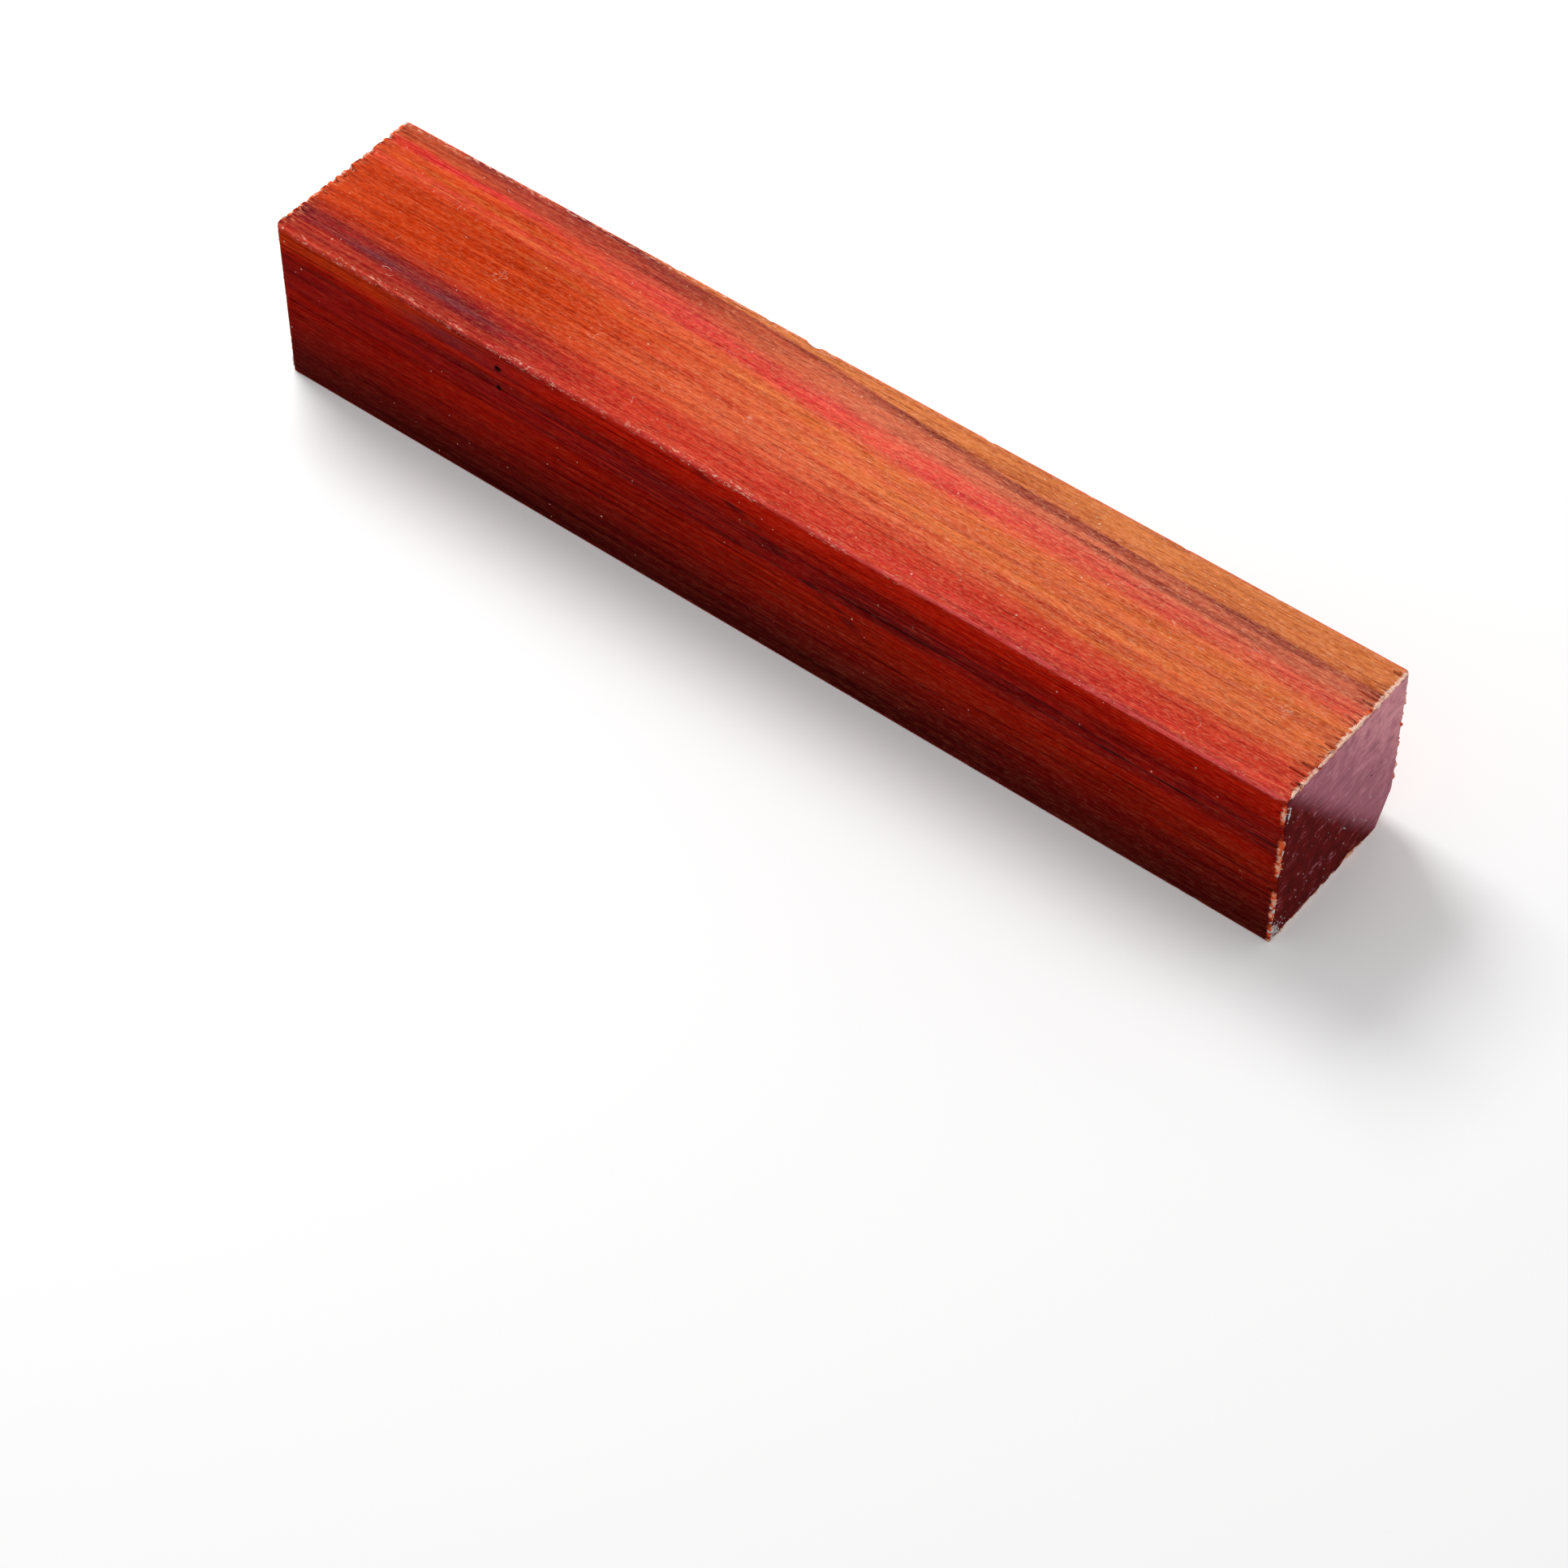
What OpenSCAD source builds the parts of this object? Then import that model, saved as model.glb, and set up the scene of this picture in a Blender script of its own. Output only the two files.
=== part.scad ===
// Square wood turning blank: one length of figured red hardwood, planed on its
// four long faces and cross-cut at both ends. The grain runs along X, the blank
// lies on the plane z = 0, and -Y is the near face. All sizes are in millimetres.

/* [Stock] */
// Length of the blank, along the grain
blank_length = 305; // [200:1:600]
// Width of the blank, across the grain
blank_width = 50; // [38:1:76]
// Height of the blank, from the resting face to the top face
blank_height = 50; // [38:1:76]

/* [Long arrises] */
// Radius worn on the arris between the near and top faces
near_top_ease = 1.0; // [0.3:0.1:2]
// Radius on the arris between the far and top faces
far_top_ease = 0.5; // [0.3:0.1:2]
// Radius on the arris between the far and resting faces
far_bottom_ease = 0.8; // [0.3:0.1:2]
// Radius on the arris between the near and resting faces
near_bottom_ease = 0.6; // [0.3:0.1:2]

/* [Sawn ends] */
// Radius knocked on the left end's near upright corner
left_near_knock = 2.4; // [0.3:0.1:4]
// Radius on the left end's far upright corner
left_far_knock = 0.8; // [0.3:0.1:4]
// Radius on the right end's near upright corner
right_near_knock = 0.5; // [0.3:0.1:4]
// Radius on the right end's far upright corner
right_far_knock = 1.6; // [0.3:0.1:4]
// Radius that the saw and handling leave on each level edge of an end
end_edge_ease = 0.4; // [0.3:0.1:1]
// Width of the break at the right end's far lower corner
corner_break_width = 6.5; // [2:0.5:10]
// Height of the same break, up the far upright edge
corner_break_height = 12; // [4:0.5:18]
// Run of the same break, along the far lower arris
corner_break_run = 22; // [8:1:40]

/* [Tear-out] */
// Distance between neighbouring torn hollows along an end edge
tear_pitch = 3.6; // [3:0.1:8]
// Width of a middling torn hollow, across the grain
tear_width = 1.2; // [0.8:0.1:1.8]
// Run of a middling torn hollow, along the grain
tear_run = 3.2; // [1:0.1:5]
// Sound wood left at each end of a torn edge
tear_margin = 3.5; // [2.5:0.1:6]
// Depth of each chip knocked off the right end's near upright edge
end_chip_depth = 0.7; // [0.3:0.1:1.2]
// Radius of the knock that leaves a chip
end_chip_radius = 6; // [3:0.5:10]
// Distance between neighbouring chips
end_chip_pitch = 11.5; // [10:0.5:16]

/* [Nicks and pinholes] */
// Distance between neighbouring nicks along a long arris
nick_pitch = 24; // [12:1:50]
// Depth of a middling nick, square to the arris
nick_depth = 0.32; // [0.1:0.02:0.6]
// Radius of the knock that leaves a nick
nick_radius = 5; // [2:0.5:9]
// Depth of the one deep nick, in the far top arris
deep_nick_depth = 0.9; // [0.4:0.1:1.5]
// Distance of the deep nick from the left end
deep_nick_from_end = 132.5; // [40:0.5:160]
// Diameter of each insect pinhole in the near face
pinhole_diameter = 1.3; // [0.8:0.1:2]
// Depth of each pinhole
pinhole_depth = 6; // [2:0.5:15]
// Distance of the pinholes from the left end
pinhole_from_end = 73.5; // [20:0.5:150]
// Distance of the upper pinhole below the top face
pinhole_drop = 5.7; // [4:0.1:12]
// Distance from the upper pinhole to the lower one
pinhole_pitch = 6.5; // [4:0.1:12]

/* [Hidden] */

$fn = 64;
red_heartwood = [0.71, 0.23, 0.13];

half_length = blank_length / 2;
half_width = blank_width / 2;
half_height = blank_height / 2;

// A cutter reaches this far past the surface that it cuts
overcut = 1;

// Repeatable value from 0 to 1 for hollow or nick i of edge k
function scatter(i, k) =
    let (wave = sin(i * 127.1 + k * 311.7 + 41) * 437.58)
    wave - floor(wave);

// Rectangle centred on the origin with its own radius on each corner, in the
// order lower left, lower right, upper right, upper left
module eased_rectangle(size_x, size_y, radii) {
    corner_sides = [[-1, -1], [1, -1], [1, 1], [-1, 1]];
    difference() {
        square([size_x, size_y], center = true);
        for (i = [0 : 3]) {
            side = corner_sides[i];
            translate([side[0] * (size_x / 2 - radii[i]), side[1] * (size_y / 2 - radii[i])])
                difference() {
                    translate([side[0] * (radii[i] + overcut) / 2, side[1] * (radii[i] + overcut) / 2])
                        square(radii[i] + overcut, center = true);
                    circle(r = radii[i]);
                }
        }
    }
}

// The planed and cross-cut prism, with every edge eased: what its section, its
// plan and its side view have in common
module sawn_prism() {
    intersection() {
        rotate([90, 0, 90])
            linear_extrude(height = blank_length, center = true)
                eased_rectangle(blank_width, blank_height,
                    [near_bottom_ease, far_bottom_ease, far_top_ease, near_top_ease]);
        linear_extrude(height = blank_height, center = true)
            eased_rectangle(blank_length, blank_width,
                [left_near_knock, right_near_knock, right_far_knock, left_far_knock]);
        rotate([90, 0, 0])
            linear_extrude(height = blank_width, center = true)
                eased_rectangle(blank_length, blank_height,
                    [end_edge_ease, end_edge_ease, end_edge_ease, end_edge_ease]);
    }
}

// The wood that split off at the right end's far lower corner: all that lies
// beyond the plane through the break's run, width and height
module corner_break() {
    outward = [1 / corner_break_run, 1 / corner_break_width, -1 / corner_break_height];
    steepness = norm(outward);
    reach = corner_break_run + overcut;
    translate([half_length, half_width, -half_height])
        rotate([0, acos(outward[2] / steepness), atan2(outward[1], outward[0])])
            translate([-reach, -reach, -1 / steepness])
                cube([2 * reach, 2 * reach, reach]);
}

// A hollow where fibres broke away at a cross-cut edge: widest on the end face
// and tapering to nothing along the grain
module torn_hollow(width, run) {
    mouth = 0.5 * width * (run + overcut) / run;
    translate([overcut, 0, 0])
        rotate([0, -90, 0])
            cylinder(h = run + overcut, r1 = mouth, r2 = 0);
}

// Torn hollows along one edge, which runs along Y at the origin with the end
// face at x = 0 and the wood below z = 0
module torn_edge(edge_length, k) {
    count = floor((edge_length - 2 * tear_margin) / tear_pitch);
    for (i = [0 : count - 1]) {
        along = (i - (count - 1) / 2 + 0.5 * (scatter(i, k) - 0.5)) * tear_pitch;
        size = 0.4 + 1.2 * pow(scatter(i, k + 20), 2);
        width = tear_width * size;
        run = tear_run * size * (0.7 + 0.6 * scatter(i, k + 40));
        sink = 0.4 * width * scatter(i, k + 60);
        translate([0, along, -sink])
            torn_hollow(width, run);
    }
}

// The torn hollows around the end that faces +X. The saw goes in at the resting
// face, so that edge stays whole.
module torn_end(k) {
    for (quarter = [0, 1, 3]) {
        level = quarter % 2 == 0;
        rotate([quarter * 90, 0, 0])
            translate([half_length, 0, level ? half_height : half_width])
                torn_edge(level ? blank_width : blank_height, k + quarter);
    }
}

// A knock square across an arris at the origin, whose two faces point along +Y
// and +Z
module nick(depth, radius = nick_radius) {
    reach = 4 * depth + overcut;
    rotate([-45, 0, 0])
        translate([0, 0, radius - depth])
            rotate([90, 0, 0])
                cylinder(h = 2 * reach, r = radius, center = true);
}

// Three chips down the right end's near upright edge
module end_chips() {
    for (i = [-1 : 1])
        translate([half_length, -half_width, i * end_chip_pitch])
            rotate([0, 90, -90])
                nick(end_chip_depth * (0.7 + 0.6 * scatter(i + 1, 300)), end_chip_radius);
}

// Scattered nicks along one long arris, with the arris at the origin
module nicked_arris(k) {
    count = floor((blank_length - 2 * nick_pitch) / nick_pitch);
    for (i = [0 : count - 1]) {
        along = (i - (count - 1) / 2 + 0.7 * (scatter(i, k) - 0.5)) * nick_pitch;
        depth = nick_depth * (0.5 + scatter(i, k + 20));
        translate([along, 0, 0])
            nick(depth);
    }
}

// The nicks of the two top arrises, and the deep one in the far top arris
module nicks() {
    for (side = [0, 1])
        mirror([0, 1 - side, 0])
            translate([0, half_width, half_height])
                nicked_arris(101 + 2 * side);
    translate([deep_nick_from_end - half_length, half_width, half_height])
        nick(deep_nick_depth);
}

// Two insect pinholes, one above the other in the near face
module pinholes() {
    for (drop = [pinhole_drop, pinhole_drop + pinhole_pitch])
        translate([pinhole_from_end - half_length, pinhole_depth - half_width, half_height - drop])
            rotate([90, 0, 0])
                cylinder(h = pinhole_depth + overcut, d = pinhole_diameter);
}

// The whole blank, resting on z = 0
module turning_blank() {
    color(red_heartwood)
        translate([0, 0, half_height])
            difference() {
                sawn_prism();
                corner_break();
                torn_end(0);
                rotate([0, 0, 180]) torn_end(10);
                nicks();
                end_chips();
                pinholes();
            }
}

turning_blank();
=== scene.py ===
import math
import random

import bmesh
import bpy
import numpy as np
from mathutils import Matrix, Vector
from mathutils.bvhtree import BVHTree


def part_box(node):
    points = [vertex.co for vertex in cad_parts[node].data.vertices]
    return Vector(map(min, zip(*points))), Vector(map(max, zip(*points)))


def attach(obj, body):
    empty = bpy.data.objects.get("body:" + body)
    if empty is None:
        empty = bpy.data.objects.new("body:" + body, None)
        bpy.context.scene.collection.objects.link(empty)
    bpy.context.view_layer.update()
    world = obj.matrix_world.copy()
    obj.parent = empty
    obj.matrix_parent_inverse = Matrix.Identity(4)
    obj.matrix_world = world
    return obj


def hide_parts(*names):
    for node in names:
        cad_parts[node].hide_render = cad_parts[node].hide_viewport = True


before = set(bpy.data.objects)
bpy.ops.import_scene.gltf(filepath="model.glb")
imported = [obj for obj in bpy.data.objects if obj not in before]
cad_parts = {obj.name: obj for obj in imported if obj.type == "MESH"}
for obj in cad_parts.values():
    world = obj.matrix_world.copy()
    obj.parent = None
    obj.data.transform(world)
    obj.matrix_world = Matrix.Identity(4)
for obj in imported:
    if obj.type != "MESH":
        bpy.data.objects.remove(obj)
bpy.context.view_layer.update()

MM = 0.001

# The stock
# A square length of figured red heartwood, planed on its four long faces and
# cross-cut at both ends. It is one piece of wood, so it is one mesh, made from
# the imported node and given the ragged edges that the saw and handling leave.
STOCK_NODE = "turning_blank"
low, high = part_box(STOCK_NODE)
LENGTH = (high.x - low.x) / MM
WIDTH = (high.y - low.y) / MM
HEIGHT = (high.z - low.z) / MM

REMESH_CELL = 0.28          # mm, the size of the smallest torn fibre that is modelled
STOCK_TRIANGLES = 184000
PLANE_SNAP = 0.08           # mm, a vertex this close to a planed face lies on it
SOUND_WOOD = 2.5            # mm, beyond this from every edge a face is flat
WAX_FILM = 0.3              # mm of sealing wax, gone where it flaked off the rims
SPLIT_DEPTH = 0.65          # mm, of the short splits that run in from the ends
# Each split's end, distance from the far arris, half width and run, in mm
END_SPLITS = (
    (1, 2.4, 1.0, 3.2), (1, 12.3, 0.6, 6.5), (1, 14.2, 0.45, 4.0), (1, 27.4, 0.5, 2.6),
    (1, 30.2, 0.6, 3.4), (1, 38.0, 0.8, 4.2), (1, 40.9, 0.6, 5.4), (1, 44.6, 0.4, 2.6),
    (-1, 6.8, 0.45, 2.4), (-1, 15.0, 0.5, 2.2), (-1, 22.5, 0.4, 3.0), (-1, 28.6, 0.6, 2.4),
    (-1, 30.6, 0.45, 1.6), (-1, 33.4, 0.5, 3.2), (-1, 38.2, 0.6, 4.4), (-1, 41.4, 0.5, 3.0),
    (-1, 45.4, 0.4, 2.2),
)
# Each chip off an end's near upright edge: distance below the top, half height and width, in mm
NEAR_CHIPS = ((5.0, 3.0, 0.7), (17.0, 3.3, 2.1), (23.6, 3.2, 1.3), (37.5, 5.6, 1.2), (47.0, 3.0, 2.2))


def merged_copy(node_name, piece_name):
    """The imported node's loose triangles, merged into a closed mesh of their own."""
    shape = bmesh.new()
    shape.from_mesh(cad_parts[node_name].data)
    bmesh.ops.remove_doubles(shape, verts=shape.verts, dist=1e-6)
    mesh = bpy.data.meshes.new(piece_name)
    shape.to_mesh(mesh)
    shape.free()
    piece = bpy.data.objects.new(piece_name, mesh)
    bpy.context.scene.collection.objects.link(piece)
    return piece


def apply_modifiers(piece):
    """Replaces the piece's mesh by what its modifiers make of it."""
    graph = bpy.context.evaluated_depsgraph_get()
    mesh = bpy.data.meshes.new_from_object(piece.evaluated_get(graph))
    piece.modifiers.clear()
    piece.data = mesh


def lattice_noise(points, cell, seed):
    """Smooth noise from -1 to 1 at each row of points; cell is its grain in millimetres."""
    points = points / np.array(cell)
    cells = np.floor(points).astype(np.int64)
    part = points - cells
    part = part * part * (3.0 - 2.0 * part)
    total = np.zeros(len(points))
    for corner in range(8):
        step = np.array([corner & 1, corner >> 1 & 1, corner >> 2 & 1])
        key = cells + step
        mixed = key[:, 0] * 73856093 ^ key[:, 1] * 19349663 ^ key[:, 2] * 83492791 ^ seed * 15485863
        mixed = (mixed ^ mixed >> 13) * 1274126177
        mixed = mixed ^ mixed >> 16
        value = (mixed & 0xFFFF) / 32767.5 - 1.0
        weight = np.prod(np.where(step == 1, part, 1.0 - part), axis=1)
        total += weight * value
    return total


def wear_edges(piece):
    """Chips the long arrises and breaks the fibre ends off the cross-cut rims."""
    mesh = piece.data
    flat = np.empty(len(mesh.vertices) * 3, np.float32)
    mesh.vertices.foreach_get("co", flat)
    at = flat.reshape(-1, 3).astype(float) / MM
    x, y, z = at[:, 0], at[:, 1], at[:, 2]
    side_x, side_y = np.sign(x), np.sign(y)
    side_z = np.where(z > HEIGHT / 2, 1.0, -1.0)
    from_end = LENGTH / 2 - np.abs(x)
    from_side = WIDTH / 2 - np.abs(y)
    from_level = np.where(side_z > 0, HEIGHT - z, z)
    edge = np.sort(np.stack([from_end, from_side, from_level]), axis=0)[1]
    sound = edge > SOUND_WOOD
    from_end = np.where(sound & (from_end < PLANE_SNAP), 0.0, from_end)
    from_side = np.where(sound & (from_side < PLANE_SNAP), 0.0, from_side)
    from_level = np.where(sound & (from_level < PLANE_SNAP), 0.0, from_level)

    fine = lattice_noise(at, (0.9, 0.7, 0.7), 11)
    middling = lattice_noise(at, (3.0, 1.5, 1.5), 13)
    slow = lattice_noise(at, (13.0, 6.0, 6.0), 17)
    chip = 0.16 + 0.10 * fine + 0.14 * middling + 0.10 * slow
    chip = chip + 0.9 * np.clip(middling + slow - 0.95, 0.0, None)
    short = np.clip(chip - (from_side + from_level), 0.0, None)
    from_side = from_side + short / 2
    from_level = from_level + short / 2

    fibre = lattice_noise(at, (6.0, 0.6, 0.6), 3)
    bundle = lattice_noise(at, (9.0, 2.2, 2.2), 5)
    patch = lattice_noise(at, (20.0, 8.0, 8.0), 7)
    fray = 0.25 + 0.5 * lattice_noise(at, (2.0, 2.0, 1.4), 37)
    fray = fray + 0.5 * lattice_noise(at, (4.0, 4.0, 4.5), 41)
    fray = np.clip(fray, 0.0, 0.8) * np.clip(1.0 - from_end / 3.0, 0.0, 1.0)
    from_side = np.maximum(from_side, np.where(from_side < 1.0, fray, 0.0))
    tear = np.clip(0.30 + 0.60 * fibre + 0.85 * bundle + 0.50 * patch, 0.04, 1.8)
    for end, drop, half, run in END_SPLITS:
        ragged = half * (1.0 + 0.5 * fine) * np.clip(1.0 - from_end / run, 0.0, 1.0) ** 0.5
        across = np.abs(WIDTH / 2 - y - drop + 0.25 * middling)
        split = np.clip(1.0 - across / np.maximum(ragged, 1e-3), 0.0, 1.0) * SPLIT_DEPTH
        from_level = from_level + np.where((side_x == end) & (side_z > 0) & (from_end < run), split, 0.0)
    rim = np.minimum(from_side, from_level)
    short = np.clip(tear - (0.6 * from_end + rim), 0.0, None)
    from_end = from_end + np.where(from_end < 6.0, short / 0.6, 0.0)

    flake = lattice_noise(at, (5.0, 1.7, 1.7), 23) + 0.6 * lattice_noise(at, (5.0, 0.7, 0.7), 29)
    knock = lattice_noise(at, (30.0, 6.5, 6.5), 31)
    bare = 0.3 + 0.4 * flake + 0.7 * knock + 0.6 * lattice_noise(at, (30.0, 3.6, 3.6), 43)
    more_on_level = np.where(side_z > 0, 0.35, 0.7)
    more_on_upright = np.where(side_y > 0, 0.4, -0.2)
    bare = bare + np.where(from_level < from_side, more_on_level, more_on_upright)
    for drop, half, width in NEAR_CHIPS:
        reach = np.clip(1.0 - ((HEIGHT - z - drop) / half) ** 2, 0.0, 1.0) ** 0.5 * (width + 0.4 * flake)
        chipped = (side_y < 0) & (from_side < reach) & (from_side <= from_level + 0.5)
        bare = np.where(chipped, reach, bare)
    lifted = (from_end < WAX_FILM) & (rim < bare)
    from_end = np.where(lifted, WAX_FILM, from_end)

    x = side_x * (LENGTH / 2 - from_end)
    y = side_y * (WIDTH / 2 - from_side)
    z = np.where(side_z > 0, HEIGHT - from_level, from_level)
    at = np.stack([x, y, z], axis=1)
    mesh.vertices.foreach_set("co", (at * MM).astype(np.float32).ravel())
    mesh.update()


stock = merged_copy(STOCK_NODE, "stock")
remesh = stock.modifiers.new("remesh", "REMESH")
remesh.mode = "VOXEL"
remesh.voxel_size = REMESH_CELL * MM
apply_modifiers(stock)
wear_edges(stock)
stock.data.calc_loop_triangles()
decimate = stock.modifiers.new("decimate", "DECIMATE")
decimate.ratio = STOCK_TRIANGLES / len(stock.data.loop_triangles)
apply_modifiers(stock)
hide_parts(STOCK_NODE)
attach(stock, "root")


# The heartwood's finish
# Growth layers lie aslant in the section and sweep sideways along the length,
# so each band of colour crosses the top and runs down the near side, which darkens
# toward its foot partly as painted shade. The faces are planed and bare, the
# arrises rubbed pale, the near top one also with a painted highlight, and the ends
# sealed in dark wax that carries a painted reflection.
def linear(red, green, blue):
    """A colour written as 0 to 255 values, as Blender's linear light."""
    def one(channel):
        share = channel / 255
        return share / 12.92 if share <= 0.04045 else ((share + 0.055) / 1.055) ** 2.4
    return (one(red), one(green), one(blue), 1.0)


class Field:
    """A value over a surface: a node's output socket that takes Python's operators."""

    tree = None

    def __init__(self, socket):
        self.socket = socket

    @classmethod
    def node(cls, kind, settings=None, sockets=None, output=0):
        made = cls.tree.nodes.new(kind)
        for name, value in (settings or {}).items():
            setattr(made, name, value)
        for name, value in (sockets or {}).items():
            if isinstance(value, Field):
                cls.tree.links.new(value.socket, made.inputs[name])
            else:
                made.inputs[name].default_value = value
        return cls(made.outputs[output])

    @classmethod
    def math(cls, operation, *values):
        return cls.node("ShaderNodeMath", {"operation": operation}, dict(enumerate(values)))

    def __add__(self, other):
        return Field.math("ADD", self, other)

    def __radd__(self, other):
        return Field.math("ADD", other, self)

    def __sub__(self, other):
        return Field.math("SUBTRACT", self, other)

    def __rsub__(self, other):
        return Field.math("SUBTRACT", other, self)

    def __mul__(self, other):
        return Field.math("MULTIPLY", self, other)

    def __rmul__(self, other):
        return Field.math("MULTIPLY", other, self)

    def __truediv__(self, other):
        return Field.math("DIVIDE", self, other)

    def __abs__(self):
        return Field.math("ABSOLUTE", self)

    def step(self, start, end):
        """0 at start and 1 at end, smooth between them; start may be the larger."""
        return Field.node("ShaderNodeMapRange", {"interpolation_type": "SMOOTHSTEP"},
                          {"Value": self, "From Min": start, "From Max": end})


def lesser(one, other):
    return Field.math("MINIMUM", one, other)


def greater(one, other):
    return Field.math("MAXIMUM", one, other)


def mix_colour(under, over, share, blend="MIX"):
    return Field.node("ShaderNodeMix", {"data_type": "RGBA", "blend_type": blend},
                      {0: share, 6: under, 7: over}, output=2)


def stretched(place, sizes, seed):
    """The place scaled so that a noise cell has the given x, y and z size in millimetres."""
    return Field.node("ShaderNodeVectorMath", {"operation": "MULTIPLY_ADD"},
                      {0: place, 1: tuple(1 / size for size in sizes), 2: (seed, seed * 1.7, seed * 0.6)})


def grain_noise(place, run, across, detail=2.0, seed=0.0):
    """Noise from 0 to 1 drawn out along the grain; run and across in millimetres."""
    return Field.node("ShaderNodeTexNoise", {"noise_dimensions": "3D"},
                      {"Vector": stretched(place, (run, across, across), seed),
                       "Scale": 1.0, "Detail": detail, "Roughness": 0.55})


def specks(place, cell, radius, seed, share):
    """Round spots scattered one to a cell; only the given share of the cells has one."""
    made = Field.tree.nodes.new("ShaderNodeTexVoronoi")
    made.inputs["Scale"].default_value = 1.0
    made.inputs["Randomness"].default_value = 1.0
    Field.tree.links.new(stretched(place, (cell, cell, cell), seed).socket, made.inputs["Vector"])
    pick = Field(made.outputs["Color"])
    chosen = Field.node("ShaderNodeSeparateColor", None, {0: pick}).step(share + 0.001, share)
    return Field(made.outputs["Distance"]).step(radius / cell, radius / cell * 0.5) * chosen


heartwood = bpy.data.materials.new("heartwood")
heartwood.use_nodes = True
heartwood.node_tree.nodes.clear()
Field.tree = heartwood.node_tree

place = Field.node("ShaderNodeVectorMath", {"operation": "SCALE"},
                   {0: Field.node("ShaderNodeTexCoord", output=3), "Scale": 1 / MM})
split = Field.tree.nodes.new("ShaderNodeSeparateXYZ")
Field.tree.links.new(place.socket, split.inputs[0])
along, over, up = Field(split.outputs[0]), Field(split.outputs[1]), Field(split.outputs[2])

# How far each point is inside the planed faces, the long arrises and the end rims
in_from_end = LENGTH / 2 - abs(along)
in_from_side = WIDTH / 2 - abs(over)
in_from_level = lesser(HEIGHT - up, up)
recess = lesser(lesser(in_from_end, in_from_side), in_from_level)
from_arris = in_from_side + in_from_level
from_rim = in_from_end + lesser(in_from_side, in_from_level)
from_near_arris = (WIDTH / 2 + over) + (HEIGHT - up)

# The growth layers, 0 at the far top arris and 100 at the near bottom one
feather = grain_noise(place, 34, 0.7, 3, 4) - 0.5
wander = grain_noise(place, 80, 12, 1, 9) - 0.5
patches = grain_noise(place, 22, 2.4, 2, 10)
depth = (WIDTH / 2 - over) + (HEIGHT - up)
loose = feather * 2.8 + wander * 3.0
sweep = Field.math("TANH", (along + 24.5) / 60.0) * 6.0 * depth.step(88.0, 42.0)
layer = depth - sweep + loose
gold_edge = depth - 5.3 - Field.math("TANH", (along - 15.0) / 75.0) * 5.2 + loose * 0.6

GOLD = linear(220, 127, 70)
TAN = linear(216, 114, 86)
CEDAR = linear(188, 82, 52)
BRICK = linear(172, 60, 52)
HONEY = linear(228, 120, 56)
ORANGE = linear(226, 104, 66)
EMBER = linear(208, 66, 26)
RUSSET = linear(190, 50, 6)
CARMINE = linear(222, 40, 46)
ROSE = linear(236, 74, 70)
RED = linear(206, 52, 38)
PLUM = linear(108, 30, 44)
ASH_PLUM = linear(132, 64, 76)
BROWN_LINE = linear(124, 46, 46)
CRIMSON = linear(192, 24, 4)
BLOOD = linear(156, 14, 3)
WINE = linear(130, 16, 22)
RUST = linear(156, 26, 2)
MAROON = linear(84, 14, 12)
BLACK_LINE = linear(60, 12, 18)


def streak(under, colour, centre, half, soft, share, start=None, stop=None, fade=40.0, lean=0.0,
           broken=0.5, track=layer):
    """Lays a band of colour along one growth layer, between two places on the length."""
    offset = track - centre
    if lean:
        offset = offset - along * lean
    mask = abs(offset).step(half + soft, max(half - soft * 0.3, 0.0))
    mask = mask * (patches.step(0.34, 0.62) * (broken * share) + (1.0 - broken) * share)
    if start is not None:
        mask = mask * along.step(start - fade / 2, start + fade / 2)
    if stop is not None:
        mask = mask * along.step(stop + fade / 2, stop - fade / 2)
    return mix_colour(under, colour, mask)


drift = along + wander * 90.0 + feather * 60.0
on_side = depth.step(49.4, 50.6)
colour = mix_colour(EMBER, ORANGE, drift.step(-85.0, 10.0))
colour = mix_colour(colour, RED, (depth + loose).step(34.0, 43.0))
colour = mix_colour(colour, CRIMSON, depth.step(49.0, 52.0))
colour = mix_colour(colour, BLOOD, depth.step(53.0, 60.0))
colour = streak(colour, WINE, 65.0, 3.0, 4.0, 0.7, track=depth)
colour = streak(colour, RUST, 76.0, 4.0, 7.0, 0.7, start=-20.0, fade=120.0)
# Darker toward the foot of the near face: dark heartwood, and in part painted shade.
colour = mix_colour(colour, MAROON, layer.step(68.0, 98.0))
colour = streak(colour, RUSSET, 33.5, 6.0, 6.0, 1.0, start=-146.0, stop=-72.0, fade=36.0, broken=0.15)
colour = streak(colour, RUSSET, 25.0, 2.5, 3.5, 0.7, start=-150.0, stop=-80.0, fade=40.0)
colour = streak(colour, CEDAR, 5.5, 6.0, 4.0, 0.9, stop=-10.0, fade=80.0, broken=0.2)
colour = streak(colour, TAN, 5.5, 6.0, 3.5, 0.9, start=-20.0, fade=80.0, broken=0.2)
colour = mix_colour(colour, GOLD, gold_edge.step(0.4, -0.6))
colour = streak(colour, BRICK, 8.5, 2.5, 3.5, 0.92, start=-124.0, stop=-44.0, broken=0.4)
colour = streak(colour, CARMINE, 12.8, 0.7, 1.4, 0.95, stop=-105.0, fade=60.0)
colour = streak(colour, ROSE, 13.2, 0.3, 1.6, 0.5, start=-120.0, stop=-80.0, fade=60.0)
colour = streak(colour, ROSE, 13.8, 2.2, 3.8, 0.9, start=-78.0, stop=72.0, fade=50.0,
                lean=-0.018, broken=0.45)
colour = streak(colour, ROSE, 20.0, 1.5, 3.5, 0.4, start=-30.0, stop=60.0, fade=60.0, broken=0.8)
colour = streak(colour, ROSE, 12.6, 0.9, 3.4, 0.7, start=55.0, fade=50.0, broken=0.7)
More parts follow.
